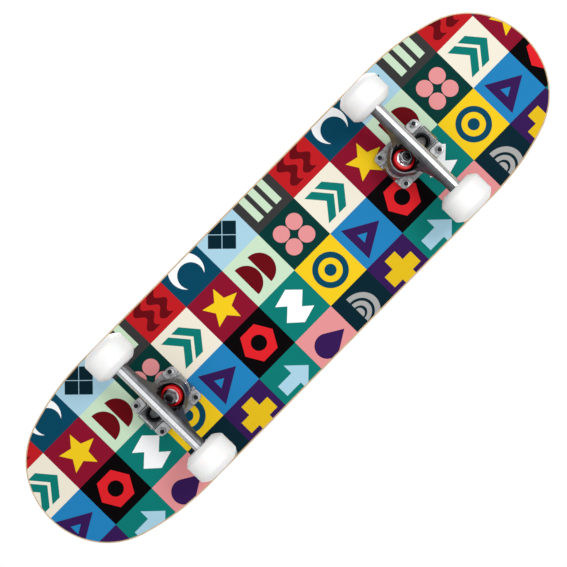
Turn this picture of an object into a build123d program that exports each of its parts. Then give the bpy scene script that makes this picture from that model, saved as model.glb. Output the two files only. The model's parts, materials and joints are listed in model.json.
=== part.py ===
from build123d import *
import os
from math import atan2, cos, radians, sin, sqrt, tan

# A complete street skateboard standing on its wheels, in millimetres.
# +X runs to the nose, +Y to the left edge and +Z up. The origin is on the ground under the deck's middle.
# Both trucks are alike: the rear one is the front one turned half round about the middle of the board.

# Deck: seven maple plies pressed with a kick at each end and raised long edges
DECK_WIDTH = 203.2
DECK_LENGTH = 787.4
DECK_THICKNESS = 11.0
SIDE_END = 230.0  # where the straight sides end, from the middle
TIP_RADIUS = 91.5
FLAT_HALF_WIDTH = 40.0  # half of the level strip between the raised edges
CONCAVE_RADIUS = 236.0  # of the underside, across the board
CONCAVE_SWEEP = 18.0  # degrees, past the edge of the widest part
KICK_START = 240.0
KICK_RADIUS = 190.0  # of the underside, along the board
KICK_ANGLE = 20.5
KICK_REACH = 120.0  # straight stretch of the kick before the outline is cut
EDGE_ROUNDING = 3.0

# Grip tape
GRIP_THICKNESS = 0.9
GRIP_INSET = 3.2

# Heights
WHEEL_RADIUS = 27.0
AXLE_DROP = 53.0  # from the underside of the deck to the axle
DECK_BOTTOM = WHEEL_RADIUS + AXLE_DROP
DECK_TOP = DECK_BOTTOM + DECK_THICKNESS
GRIP_TOP = DECK_TOP + GRIP_THICKNESS

# Truck: (distance outboard of the baseplate's middle, depth below the deck)
TRUCK_X = 195.6
AXLE_POINT = (4.0, AXLE_DROP)
RING_POINT = (-15.3, 29.0)  # middle of the hanger's ring, on the kingpin
PIVOT_POINT = (21.0, 17.0)  # middle of the pivot ball
STEM_ANGLE = 25.0  # of the pivot stem, from the vertical

# Baseplate
BASE_LENGTH = 67.0
BASE_WIDTH = 51.0
BASE_CORNER = 6.0
BASE_THICKNESS = 5.0
BOLT_PITCH_X = 53.98  # 2 1/8 in
BOLT_PITCH_Y = 41.28  # 1 5/8 in
PAD_LENGTH = 16.0
PAD_WIDTH = 12.8
PAD_PITCH_X = BASE_LENGTH - PAD_LENGTH
PAD_PITCH_Y = BASE_WIDTH - PAD_WIDTH
PAD_HEIGHT = 7.5
PAD_CORNER = 3.0
BOLT_HOLE_RADIUS = 2.75
HOUSING_HALF_WIDTH = 10.8
HOUSING_HALF_LENGTH = 12.5
HOUSING_FOOT = 4.5
HOUSING_END = 33.5
HOUSING_SHOULDER = 17.0  # depth where the housing's end wall turns towards the mouth
BOSS_RADIUS = 13.0
SPINE_HALF_WIDTH = 5.0
SPINE_DEPTH = 7.2

# Pivot cup and pivot ball
CUP_RADIUS = 8.6
CUP_MOUTH = 5.5  # from the ball's middle to the housing's face
CUP_BOTTOM = 7.4
CUP_LIP = 0.8
BALL_RADIUS = 6.0
SOCKET_RADIUS = 6.3
NECK_RADIUS = 4.8
STEM_ROOT_RADIUS = 7.5
STEM_LENGTH = 31.0

# Kingpin stack, measured along the kingpin from the ring's middle, road side positive
RING_HALF_THICKNESS = 3.5
RING_RIM = 9.5
BOARDSIDE_BUSHING_HEIGHT = 12.0
ROADSIDE_BUSHING_HEIGHT = 9.0
BOARDSIDE_WASHER_THICKNESS = 1.5
ROADSIDE_WASHER_THICKNESS = 1.2
KINGPIN_NUT_HEIGHT = 5.0
KINGPIN_COLLAR_HEIGHT = 2.0
KINGPIN_STUB = 0.3
KINGPIN_RADIUS = 4.75
KINGPIN_HEAD_RADIUS = 7.4
KINGPIN_HEAD_TOP = -26.3
KINGPIN_HEAD_HEIGHT = 4.5
KINGPIN_SOCKET_FLATS = 6.0
KINGPIN_SOCKET_DEPTH = 5.0
BOARDSIDE_BUSHING_RADIUS = 10.4
ROADSIDE_BUSHING_RADIUS = 11.8
BUSHING_BORE = 5.0
BUSHING_ROUNDING = 1.6
BOARDSIDE_WASHER_RADIUS = 11.6
BOARDSIDE_WASHER_LIP = 1.0
ROADSIDE_WASHER_RADIUS = 9.0
KINGPIN_NUT_FLATS = 14.3
KINGPIN_COLLAR_RADIUS = 6.6
BUSHING_TOP = -RING_HALF_THICKNESS - BOARDSIDE_BUSHING_HEIGHT
BOSS_FACE = BUSHING_TOP - BOARDSIDE_WASHER_THICKNESS
BUSHING_FOOT = RING_HALF_THICKNESS + ROADSIDE_BUSHING_HEIGHT
NUT_FACE = BUSHING_FOOT + ROADSIDE_WASHER_THICKNESS
KINGPIN_END = NUT_FACE + KINGPIN_NUT_HEIGHT + KINGPIN_COLLAR_HEIGHT + KINGPIN_STUB
FIT = 0.05  # radial clearance where a pin, a nut or a washer fits another piece

# Hanger
HANGER_TUBE_RADIUS = 7.6
RING_RADIUS = 16.2  # of the bowl round the roadside bushing
RING_HOLE_RADIUS = 8.0
CHEEK_RADIUS = 6.0
CHEEK_PLACE = (3.0, 14.5)
YOKE_PLACE = (16.0, 7.0)  # where the ring's plate joins the crown
CAVITY_RADIUS = 14.2
CAVITY_CHEEK_RADIUS = 8.0
CAVITY_CHEEK_PLACE = (4.6, 9.5)
CAVITY_END = 21.0
NUT_RELIEF_RADIUS = 12.0
NUT_RELIEF_SHIFT = -4.0
NUT_RELIEF_END = 24.5
HOLLOW_START = 40.0  # depth of the opening below the nut, beside the axle's tube
HOLLOW_RADIUS = 8.8
HOLLOW_PLACE = (-12.4, 5.0)
WEB_RADIUS = 3.5
CROWN_RADIUS = 6.0
# How the arm narrows to the tube: distance from the middle, then the web's edge and the arm's crown
ARM_STATIONS = (
    (0.0, (-14.0, 36.0), (4.0, 28.0)),
    (12.0, (-12.0, 36.5), (4.0, 30.0)),
    (20.0, (-7.0, 38.5), (4.0, 34.0)),
    (28.0, (-3.2, 42.0), (4.0, 39.5)),
    (38.0, (-0.8, 46.0), (4.0, 45.0)),
    (50.0, (0.2, 49.6), (4.0, 49.0)),
    (62.0, (-0.4, 51.4), (4.0, 50.8)),
)

# Wheels and bearings, about an axle along Y
WHEEL_CENTRE_Y = 78.5
WHEEL_WIDTH = 35.0
TREAD_WIDTH = 22.4
WHEEL_FACE_RADIUS = 17.8
WHEEL_SHOULDER = (23.3, 14.9)  # a point of the rounded edge: radius and distance from the middle
BEARING_RADIUS = 11.0
BEARING_BORE = 4.0
BEARING_WIDTH = 7.0
SPACER_LENGTH = 10.0
SPACER_RADIUS = 5.0
HUB_RADIUS = 9.0  # of the step between the bearing seats
DISH_RADIUS = 12.4
BALL_COUNT = 7
BALL_CIRCLE_RADIUS = 7.5
BEARING_BALL_RADIUS = 1.984
RACE_GROOVE_RADIUS = 2.05
OUTER_RACE_BORE = 9.0
INNER_RACE_RADIUS = 6.0
SHIELD_SEAT_RADIUS = 9.4
SHIELD_SEAT_HEIGHT = 2 * (SHIELD_SEAT_RADIUS - OUTER_RACE_BORE)
SHIELD_SEAT_DEPTH = 0.8
SHIELD_THICKNESS = 0.45
SHIELD_BORE = 6.4
CAGE_DEPTH = 1.4
CAGE_WIDTH = 3.4
CAGE_OFFSET = -0.9  # the crown cage's back is to one side of the balls
CAGE_POCKET_RADIUS = 2.03

# Axle and its hardware
AXLE_RADIUS = 3.97
AXLE_END = 97.0
PIN_CHAMFER = 0.8
SPEED_WASHER_RADIUS = 6.4
SPEED_WASHER_THICKNESS = 0.8
AXLE_NUT_FLATS = 12.7
AXLE_NUT_HEIGHT = 5.4
BEARING_SPAN = SPACER_LENGTH + 2 * BEARING_WIDTH
HANGER_END = WHEEL_CENTRE_Y - BEARING_SPAN / 2 - SPEED_WASHER_THICKNESS

# Mounting hardware
BOLT_RADIUS = 2.4
BOLT_HEAD_RADIUS = 4.7
COUNTERSINK_ANGLE = 82.0
BOLT_LENGTH = 25.4
BOLT_HEAD_SINK = 0.3  # below the grip tape's top
BOLT_SLOT_LENGTH = 5.0
BOLT_SLOT_WIDTH = 1.1
BOLT_SLOT_DEPTH = 1.4
MOUNT_NUT_FLATS = 8.0
MOUNT_NUT_HEIGHT = 3.6
MOUNT_NUT_COLLAR_RADIUS = 3.4
MOUNT_NUT_COLLAR_HEIGHT = 1.3
BOLT_HEAD_HEIGHT = (BOLT_HEAD_RADIUS - BOLT_RADIUS) / tan(radians(COUNTERSINK_ANGLE / 2))
BOLT_HEAD_PROUD = GRIP_THICKNESS - BOLT_HEAD_SINK  # of the deck itself
COUNTERSINK_RADIUS = BOLT_HEAD_RADIUS - BOLT_HEAD_PROUD * tan(radians(COUNTERSINK_ANGLE / 2)) + FIT
STANDING = (Align.CENTER, Align.CENTER, Align.MIN)

half_width = DECK_WIDTH / 2
tip_centre_x = DECK_LENGTH / 2 - TIP_RADIUS
shoulder_run = tip_centre_x - SIDE_END
shoulder_radius = (shoulder_run**2 + half_width**2 - TIP_RADIUS**2) / (DECK_WIDTH - 2 * TIP_RADIUS)
shoulder_angle = atan2(shoulder_radius - half_width, shoulder_run)

steering_angle = atan2(RING_POINT[1] - PIVOT_POINT[1], PIVOT_POINT[0] - RING_POINT[0])
steering = Vector(cos(steering_angle), 0, sin(steering_angle))
roadward = Vector(sin(steering_angle), 0, -cos(steering_angle))
stem_out = Vector(-sin(radians(STEM_ANGLE)), 0, -cos(radians(STEM_ANGLE)))

# The truck's own planes: SIDE reads (outboard, depth), and UNDER looks down from the deck's underside.
truck_origin = Vector(TRUCK_X, 0, DECK_BOTTOM)
SIDE = Plane(origin=truck_origin, x_dir=(1, 0, 0), z_dir=(0, 1, 0))
UNDER = Plane(origin=truck_origin, x_dir=(1, 0, 0), z_dir=(0, 0, -1))
ring_centre = SIDE.from_local_coords((*RING_POINT, 0))
pivot_centre = SIDE.from_local_coords((*PIVOT_POINT, 0))
axle_centre = SIDE.from_local_coords((*AXLE_POINT, 0))
KINGPIN = Plane(origin=ring_centre, x_dir=steering, z_dir=roadward)
STEM = Plane(origin=pivot_centre, x_dir=(0, 1, 0), z_dir=stem_out)
STEM_SIDE = Plane(origin=pivot_centre, x_dir=stem_out, z_dir=(0, 1, 0))
stem_axis = Axis(pivot_centre, stem_out)
AXLE_ENDS = Plane(origin=axle_centre, x_dir=(1, 0, 0), z_dir=(0, 1, 0))


def outline(inset):
    """The deck's plan shape, drawn in by inset all round: straight sides, long shoulders and round tips."""
    joint_radius = TIP_RADIUS - inset
    joint = (tip_centre_x + joint_radius * cos(shoulder_angle), joint_radius * sin(shoulder_angle))
    with BuildSketch() as plan:
        with BuildLine():
            side = Line((0, half_width - inset), (SIDE_END, half_width - inset))
            shoulder = TangentArc(side @ 1, joint, tangent=side % 1)
            TangentArc(shoulder @ 1, (DECK_LENGTH / 2 - inset, 0), tangent=shoulder % 1)
            mirror(about=Plane.XZ)
            mirror(about=Plane.YZ)
        make_face()
    return plan.sketch


def pressed_section(low, high):
    """A slice across the pressed board between two heights above the underside of its level strip."""
    middle = (FLAT_HALF_WIDTH, CONCAVE_RADIUS)
    with BuildSketch() as section:
        with BuildLine():
            under = Line((0, low), (FLAT_HALF_WIDTH, low))
            rise = CenterArc(middle, CONCAVE_RADIUS - low, -90, CONCAVE_SWEEP)
            fall = CenterArc(middle, CONCAVE_RADIUS - high, -90, CONCAVE_SWEEP)
            Line(rise @ 1, fall @ 1)
            over = Line((FLAT_HALF_WIDTH, high), (0, high))
            Line(over @ 1, under @ 0)
        make_face()
        mirror(about=Plane.YZ)
    return section.sketch


def pressed_layer(low, high, inset):
    """A layer of the pressed board: level in the middle, bent up at both ends, and cut to the outline."""
    section = pressed_section(low, high)
    bend = radians(KICK_ANGLE)
    level = Plane(origin=(0, 0, DECK_BOTTOM), x_dir=(0, 1, 0), z_dir=(1, 0, 0))
    bend_axis = Axis((KICK_START, 0, DECK_BOTTOM + KICK_RADIUS), (0, -1, 0))
    kick_foot = (KICK_START + KICK_RADIUS * sin(bend), 0, DECK_BOTTOM + KICK_RADIUS * (1 - cos(bend)))
    kick = Plane(origin=kick_foot, x_dir=(0, 1, 0), z_dir=(cos(bend), 0, sin(bend)))
    with BuildPart() as layer:
        with BuildSketch(level):
            add(section)
        extrude(amount=KICK_START)
        with BuildSketch(level.offset(KICK_START)):
            add(section)
        revolve(axis=bend_axis, revolution_arc=KICK_ANGLE)
        with BuildSketch(kick):
            add(section)
        extrude(amount=KICK_REACH)
        mirror(about=Plane.YZ)
        with BuildSketch(Plane.XY):
            add(outline(inset))
        extrude(amount=2 * DECK_TOP, mode=Mode.INTERSECT)
    return layer.part


def bolt_places(height):
    """The eight mounting bolts' places at a height above the ground."""
    return [
        Location((end * TRUCK_X + side_x * BOLT_PITCH_X / 2, side_y * BOLT_PITCH_Y / 2, height))
        for end in (1, -1)
        for side_x in (1, -1)
        for side_y in (1, -1)
    ]


def hexagon(flats):
    """The circumscribed radius of a hexagon of the given width across flats."""
    return flats / 2 / cos(radians(30))


# ---------------------------------------------------------------- deck and grip tape
with BuildPart() as deck:
    add(pressed_layer(0, DECK_THICKNESS, 0))
    walls = deck.faces().filter_by(lambda face: abs(face.normal_at().Z) < 0.01)
    rims = walls.edges().filter_by(lambda edge: abs((edge @ 1).Z - (edge @ 0).Z) < DECK_THICKNESS - 1)
    fillet(rims, radius=EDGE_ROUNDING)
    with Locations(*bolt_places(DECK_TOP)):
        CounterSinkHole(BOLT_HOLE_RADIUS, COUNTERSINK_RADIUS, DECK_THICKNESS, COUNTERSINK_ANGLE)

with BuildPart() as grip_tape:
    add(pressed_layer(DECK_THICKNESS, DECK_THICKNESS + GRIP_THICKNESS, GRIP_INSET))
    with Locations(*bolt_places(GRIP_TOP)):
        Hole(radius=BOLT_HEAD_RADIUS + FIT, depth=2 * GRIP_THICKNESS)

# ---------------------------------------------------------------- baseplate
mouth_across = Vector(cos(radians(STEM_ANGLE)), sin(radians(STEM_ANGLE)))  # along the housing's face, in SIDE
mouth_centre = Vector(*PIVOT_POINT) + CUP_MOUTH * Vector(-mouth_across.Y, mouth_across.X)
housing_inner = mouth_centre - HOUSING_HALF_LENGTH * mouth_across
housing_outer = mouth_centre + HOUSING_HALF_LENGTH * mouth_across

with BuildPart() as baseplate:
    with BuildSketch(UNDER):
        RectangleRounded(BASE_LENGTH, BASE_WIDTH, BASE_CORNER)
    extrude(amount=BASE_THICKNESS)
    with BuildSketch(UNDER):
        with GridLocations(PAD_PITCH_X, PAD_PITCH_Y, 2, 2):
            RectangleRounded(PAD_LENGTH, PAD_WIDTH, PAD_CORNER)
    extrude(amount=PAD_HEIGHT)
    with BuildSketch(SIDE):
        with BuildLine():
            Polyline(
                (housing_inner.X - HOUSING_FOOT, 0),
                (housing_inner.X, housing_inner.Y),
                (housing_outer.X, housing_outer.Y),
                (HOUSING_END, HOUSING_SHOULDER),
                (HOUSING_END, 0),
                close=True,
            )
        make_face()
    extrude(amount=HOUSING_HALF_WIDTH, both=True)
    with BuildSketch(SIDE):
        with BuildLine():
            Polyline(
                (RING_POINT[0], 0),
                (RING_POINT[0], SPINE_DEPTH),
                (housing_inner.X, SPINE_DEPTH),
                (housing_inner.X, 0),
                close=True,
            )
        make_face()
    extrude(amount=SPINE_HALF_WIDTH, both=True)
    with BuildSketch(KINGPIN.offset(BOSS_FACE)):
        Circle(BOSS_RADIUS)
    extrude(amount=-RING_POINT[1])
    with BuildSketch(UNDER):
        RectangleRounded(BASE_LENGTH, BASE_WIDTH, BASE_CORNER)
    extrude(amount=AXLE_DROP, mode=Mode.INTERSECT)
    with BuildSketch(KINGPIN.offset(BOSS_FACE)):
        Circle(KINGPIN_RADIUS + FIT)
    extrude(amount=-RING_POINT[1], mode=Mode.SUBTRACT)
    with BuildSketch(KINGPIN.offset(KINGPIN_HEAD_TOP + KINGPIN_HEAD_HEIGHT)):
        Circle(KINGPIN_HEAD_RADIUS + 4 * FIT)
    extrude(amount=-RING_POINT[1], mode=Mode.SUBTRACT)
    with BuildSketch(STEM.offset(-CUP_BOTTOM)):
        Circle(CUP_RADIUS + FIT)
    extrude(amount=2 * CUP_BOTTOM, mode=Mode.SUBTRACT)
    with BuildSketch(UNDER):
        with GridLocations(BOLT_PITCH_X, BOLT_PITCH_Y, 2, 2):
            Circle(BOLT_HOLE_RADIUS)
    extrude(amount=PAD_HEIGHT, mode=Mode.SUBTRACT)

with BuildPart() as pivot_cup:
    with BuildSketch(STEM_SIDE):
        with BuildLine():
            Polyline(
                (-SOCKET_RADIUS, 0),
                (-CUP_BOTTOM, 0),
                (-CUP_BOTTOM, CUP_RADIUS),
                (CUP_MOUTH + CUP_LIP, CUP_RADIUS),
                (CUP_MOUTH + CUP_LIP, SOCKET_RADIUS + CUP_LIP),
                (CUP_MOUTH - CUP_LIP, SOCKET_RADIUS),
                (0, SOCKET_RADIUS),
            )
            CenterArc((0, 0), SOCKET_RADIUS, 90, 90)
        make_face()
    revolve(axis=stem_axis)

# ---------------------------------------------------------------- kingpin and what it holds
with BuildPart() as kingpin:
    with BuildSketch(KINGPIN.offset(KINGPIN_HEAD_TOP)):
        Circle(KINGPIN_HEAD_RADIUS)
    extrude(amount=KINGPIN_HEAD_HEIGHT)
    with BuildSketch(KINGPIN.offset(KINGPIN_HEAD_TOP)):
        Circle(KINGPIN_RADIUS)
    extrude(amount=KINGPIN_END - KINGPIN_HEAD_TOP)
    chamfer(kingpin.edges().sort_by(Axis(ring_centre, roadward))[-1], length=PIN_CHAMFER)
    with BuildSketch(KINGPIN.offset(KINGPIN_END)):
        RegularPolygon(hexagon(KINGPIN_SOCKET_FLATS), 6)
    extrude(amount=-KINGPIN_SOCKET_DEPTH, mode=Mode.SUBTRACT)

with BuildPart() as kingpin_nut:
    with BuildSketch(KINGPIN.offset(NUT_FACE)):
        RegularPolygon(hexagon(KINGPIN_NUT_FLATS), 6)
    extrude(amount=KINGPIN_NUT_HEIGHT)
    with BuildSketch(KINGPIN.offset(NUT_FACE + KINGPIN_NUT_HEIGHT)):
        Circle(KINGPIN_COLLAR_RADIUS)
    extrude(amount=KINGPIN_COLLAR_HEIGHT)
    with BuildSketch(KINGPIN.offset(NUT_FACE)):
        Circle(KINGPIN_RADIUS + FIT)
    extrude(amount=KINGPIN_NUT_HEIGHT + KINGPIN_COLLAR_HEIGHT, mode=Mode.SUBTRACT)


def bushing(start, height, radius):
    """A urethane ring on the kingpin, rounded at both ends."""
    with BuildPart() as ring:
        with BuildSketch(KINGPIN.offset(start)):
            Circle(radius)
        extrude(amount=height)
        fillet(ring.edges(), radius=BUSHING_ROUNDING)
        with BuildSketch(KINGPIN.offset(start)):
            Circle(BUSHING_BORE)
        extrude(amount=height, mode=Mode.SUBTRACT)
    return ring


bushing_boardside = bushing(BUSHING_TOP, BOARDSIDE_BUSHING_HEIGHT, BOARDSIDE_BUSHING_RADIUS)
bushing_roadside = bushing(RING_HALF_THICKNESS, ROADSIDE_BUSHING_HEIGHT, ROADSIDE_BUSHING_RADIUS)

with BuildPart() as washer_boardside:
    with BuildSketch(KINGPIN.offset(BOSS_FACE)):
        Circle(BOARDSIDE_WASHER_RADIUS)
        Circle(KINGPIN_RADIUS + FIT, mode=Mode.SUBTRACT)
    extrude(amount=BOARDSIDE_WASHER_THICKNESS)
    with BuildSketch(KINGPIN.offset(BUSHING_TOP)):
        Circle(BOARDSIDE_WASHER_RADIUS)
        Circle(BOARDSIDE_WASHER_RADIUS - BOARDSIDE_WASHER_LIP, mode=Mode.SUBTRACT)
    extrude(amount=BOARDSIDE_WASHER_LIP)

with BuildPart() as washer_roadside:
    with BuildSketch(KINGPIN.offset(BUSHING_FOOT)):
        Circle(ROADSIDE_WASHER_RADIUS)
        Circle(KINGPIN_RADIUS + FIT, mode=Mode.SUBTRACT)
    extrude(amount=ROADSIDE_WASHER_THICKNESS)

# ---------------------------------------------------------------- hanger
with BuildPart() as hanger:
    for place_y, web_point, crown_point in ARM_STATIONS:
        with BuildSketch(SIDE.offset(place_y)):
            with Locations(AXLE_POINT):
                Circle(HANGER_TUBE_RADIUS)
            with Locations(web_point):
                Circle(WEB_RADIUS)
            with Locations(crown_point):
                Circle(CROWN_RADIUS)
            make_hull()
    loft(ruled=True)
    mirror(about=Plane.XZ)
    with BuildSketch(KINGPIN.offset(-RING_HALF_THICKNESS)):
        Circle(RING_RADIUS)
        with Locations(CHEEK_PLACE, (CHEEK_PLACE[0], -CHEEK_PLACE[1])):
            Circle(CHEEK_RADIUS)
        make_hull()
    extrude(amount=RING_HALF_THICKNESS + RING_RIM)
    with BuildSketch(KINGPIN.offset(-RING_HALF_THICKNESS)):
        Circle(RING_RADIUS)
        with Locations(YOKE_PLACE, (YOKE_PLACE[0], -YOKE_PLACE[1])):
            Circle(CROWN_RADIUS)
        make_hull()
    extrude(amount=2 * RING_HALF_THICKNESS)
    with BuildSketch(AXLE_ENDS.offset(-HANGER_END)):
        Circle(HANGER_TUBE_RADIUS)
    extrude(amount=2 * HANGER_END)
    with BuildSketch(STEM_SIDE):
        with BuildLine():
            Line((-BALL_RADIUS, 0), (STEM_LENGTH, 0))
            root = Line((STEM_LENGTH, 0), (STEM_LENGTH, STEM_ROOT_RADIUS))
            taper = Line(root @ 1, (CUP_MOUTH + 2 * CUP_LIP, NECK_RADIUS))
            neck = Line(taper @ 1, (sqrt(BALL_RADIUS**2 - NECK_RADIUS**2), NECK_RADIUS))
            ThreePointArc(neck @ 1, (0, BALL_RADIUS), (-BALL_RADIUS, 0))
        make_face()
    revolve(axis=stem_axis)
    with BuildSketch(KINGPIN.offset(RING_HALF_THICKNESS)):
        Circle(CAVITY_RADIUS)
        with Locations(CAVITY_CHEEK_PLACE, (CAVITY_CHEEK_PLACE[0], -CAVITY_CHEEK_PLACE[1])):
            Circle(CAVITY_CHEEK_RADIUS)
        make_hull()
    extrude(amount=CAVITY_END - RING_HALF_THICKNESS, mode=Mode.SUBTRACT)
    with BuildSketch(KINGPIN.offset(RING_RIM)):
        with Locations((NUT_RELIEF_SHIFT, 0)):
            Circle(NUT_RELIEF_RADIUS)
    extrude(amount=NUT_RELIEF_END - RING_RIM, mode=Mode.SUBTRACT)
    with BuildSketch(UNDER.offset(HOLLOW_START)):
        with Locations(HOLLOW_PLACE, (HOLLOW_PLACE[0], -HOLLOW_PLACE[1])):
            Circle(HOLLOW_RADIUS)
        make_hull()
    extrude(amount=AXLE_DROP + HANGER_TUBE_RADIUS - HOLLOW_START, mode=Mode.SUBTRACT)
    with BuildSketch(KINGPIN.offset(-RING_HALF_THICKNESS)):
        Circle(RING_HOLE_RADIUS)
    extrude(amount=2 * RING_HALF_THICKNESS, mode=Mode.SUBTRACT)
    with BuildSketch(AXLE_ENDS.offset(-HANGER_END)):
        Circle(AXLE_RADIUS + FIT)
    extrude(amount=2 * HANGER_END, mode=Mode.SUBTRACT)

# ---------------------------------------------------------------- axle, its washers and its nuts
with BuildPart() as axle:
    with BuildSketch(AXLE_ENDS.offset(-AXLE_END)):
        Circle(AXLE_RADIUS)
    extrude(amount=2 * AXLE_END)
    chamfer(axle.edges().filter_by(GeomType.CIRCLE), length=PIN_CHAMFER)

washer_faces = (HANGER_END, WHEEL_CENTRE_Y + BEARING_SPAN / 2)
with BuildPart() as speed_washers:
    for face_y in washer_faces:
        with BuildSketch(AXLE_ENDS.offset(face_y)):
            Circle(SPEED_WASHER_RADIUS)
            Circle(AXLE_RADIUS + FIT, mode=Mode.SUBTRACT)
        extrude(amount=SPEED_WASHER_THICKNESS)
    mirror(about=Plane.XZ)

with BuildPart() as axle_nuts:
    with BuildSketch(AXLE_ENDS.offset(washer_faces[1] + SPEED_WASHER_THICKNESS)):
        RegularPolygon(hexagon(AXLE_NUT_FLATS), 6)
        Circle(AXLE_RADIUS + FIT, mode=Mode.SUBTRACT)
    extrude(amount=AXLE_NUT_HEIGHT)
    mirror(about=Plane.XZ)

# ---------------------------------------------------------------- mounting bolts and nuts
BOLT_HEADS = UNDER.offset(BOLT_HEAD_SINK - DECK_THICKNESS - GRIP_THICKNESS)
with BuildPart() as mounting_bolts:
    with Locations(BOLT_HEADS):
        with GridLocations(BOLT_PITCH_X, BOLT_PITCH_Y, 2, 2):
            Cylinder(BOLT_RADIUS, BOLT_LENGTH, align=STANDING)
            Cone(BOLT_HEAD_RADIUS, BOLT_RADIUS, BOLT_HEAD_HEIGHT, align=STANDING)
    with BuildSketch(BOLT_HEADS):
        with GridLocations(BOLT_PITCH_X, BOLT_PITCH_Y, 2, 2):
            Rectangle(BOLT_SLOT_LENGTH, BOLT_SLOT_WIDTH)
            Rectangle(BOLT_SLOT_WIDTH, BOLT_SLOT_LENGTH)
    extrude(amount=BOLT_SLOT_DEPTH, mode=Mode.SUBTRACT)

with BuildPart() as mounting_nuts:
    with BuildSketch(UNDER.offset(PAD_HEIGHT)):
        with GridLocations(BOLT_PITCH_X, BOLT_PITCH_Y, 2, 2):
            RegularPolygon(hexagon(MOUNT_NUT_FLATS), 6)
            Circle(BOLT_RADIUS + FIT, mode=Mode.SUBTRACT)
    extrude(amount=MOUNT_NUT_HEIGHT)
    with BuildSketch(UNDER.offset(PAD_HEIGHT + MOUNT_NUT_HEIGHT)):
        with GridLocations(BOLT_PITCH_X, BOLT_PITCH_Y, 2, 2):
            Circle(MOUNT_NUT_COLLAR_RADIUS)
            Circle(BOLT_RADIUS + FIT, mode=Mode.SUBTRACT)
    extrude(amount=MOUNT_NUT_COLLAR_HEIGHT)

# ---------------------------------------------------------------- wheel and its bearings, about the origin
# Profiles are drawn as (distance along the axle, radius) and turned about Y.
TURNING = Plane(origin=(0, 0, 0), x_dir=(0, 1, 0), z_dir=(1, 0, 0))
bearing_middles = [side * (SPACER_LENGTH + BEARING_WIDTH) / 2 for side in (-1, 1)]

with BuildPart() as wheel:
    with BuildSketch(TURNING):
        with BuildLine():
            Line((0, WHEEL_RADIUS), (TREAD_WIDTH / 2, WHEEL_RADIUS))
            edge = ThreePointArc(
                (TREAD_WIDTH / 2, WHEEL_RADIUS),
                (WHEEL_SHOULDER[1], WHEEL_SHOULDER[0]),
                (WHEEL_WIDTH / 2, WHEEL_FACE_RADIUS),
            )
            Polyline(
                edge @ 1,
                (BEARING_SPAN / 2, DISH_RADIUS),
                (BEARING_SPAN / 2, BEARING_RADIUS + FIT),
                (SPACER_LENGTH / 2, BEARING_RADIUS + FIT),
                (SPACER_LENGTH / 2, HUB_RADIUS),
                (0, HUB_RADIUS),
            )
            mirror(about=Plane.YZ)
        make_face()
    revolve(axis=Axis.Y)


with BuildPart() as bearing_outer_races:
    with BuildSketch(TURNING):
        for middle in bearing_middles:
            with Locations((middle, (BEARING_RADIUS + OUTER_RACE_BORE) / 2)):
                Rectangle(BEARING_WIDTH, BEARING_RADIUS - OUTER_RACE_BORE)
            with Locations((middle, OUTER_RACE_BORE)):
                with GridLocations(BEARING_WIDTH - SHIELD_SEAT_DEPTH, 0, 2, 1):
                    Rectangle(SHIELD_SEAT_DEPTH, SHIELD_SEAT_HEIGHT, mode=Mode.SUBTRACT)
            with Locations((middle, BALL_CIRCLE_RADIUS)):
                Circle(RACE_GROOVE_RADIUS, mode=Mode.SUBTRACT)
    revolve(axis=Axis.Y)

with BuildPart() as bearing_inner_races:
    with BuildSketch(TURNING):
        for middle in bearing_middles:
            with Locations((middle, (BEARING_BORE + INNER_RACE_RADIUS) / 2)):
                Rectangle(BEARING_WIDTH, INNER_RACE_RADIUS - BEARING_BORE)
            with Locations((middle, BALL_CIRCLE_RADIUS)):
                Circle(RACE_GROOVE_RADIUS, mode=Mode.SUBTRACT)
    revolve(axis=Axis.Y)

with BuildPart() as bearing_shields:
    with BuildSketch(TURNING):
        for middle in bearing_middles:
            with Locations((middle, (SHIELD_BORE + SHIELD_SEAT_RADIUS - FIT) / 2)):
                with GridLocations(BEARING_WIDTH - SHIELD_SEAT_DEPTH, 0, 2, 1):
                    Rectangle(SHIELD_THICKNESS, SHIELD_SEAT_RADIUS - FIT - SHIELD_BORE)
    revolve(axis=Axis.Y)

with BuildPart() as bearing_balls:
    for middle in bearing_middles:
        with Locations(Plane(origin=(0, middle, 0), x_dir=(1, 0, 0), z_dir=(0, 1, 0))):
            with PolarLocations(BALL_CIRCLE_RADIUS, BALL_COUNT):
                Sphere(BEARING_BALL_RADIUS)

with BuildPart() as bearing_cages:
    with BuildSketch(TURNING):
        for middle in bearing_middles:
            with Locations((middle + CAGE_OFFSET, BALL_CIRCLE_RADIUS)):
                Rectangle(CAGE_WIDTH, CAGE_DEPTH)
    revolve(axis=Axis.Y)
    for middle in bearing_middles:
        with Locations(Plane(origin=(0, middle, 0), x_dir=(1, 0, 0), z_dir=(0, 1, 0))):
            with PolarLocations(BALL_CIRCLE_RADIUS, BALL_COUNT):
                Sphere(CAGE_POCKET_RADIUS, mode=Mode.SUBTRACT)

with BuildPart() as bearing_spacer:
    with BuildSketch(TURNING):
        with Locations((0, (SPACER_RADIUS + AXLE_RADIUS + FIT) / 2)):
            Rectangle(SPACER_LENGTH, SPACER_RADIUS - AXLE_RADIUS - FIT)
    revolve(axis=Axis.Y)

# ---------------------------------------------------------------- every piece in its place
ENDS = {"front": 0, "rear": 180}  # each truck's turn about the middle of the board, in degrees
SIDES = {"left": 1, "right": -1}

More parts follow.
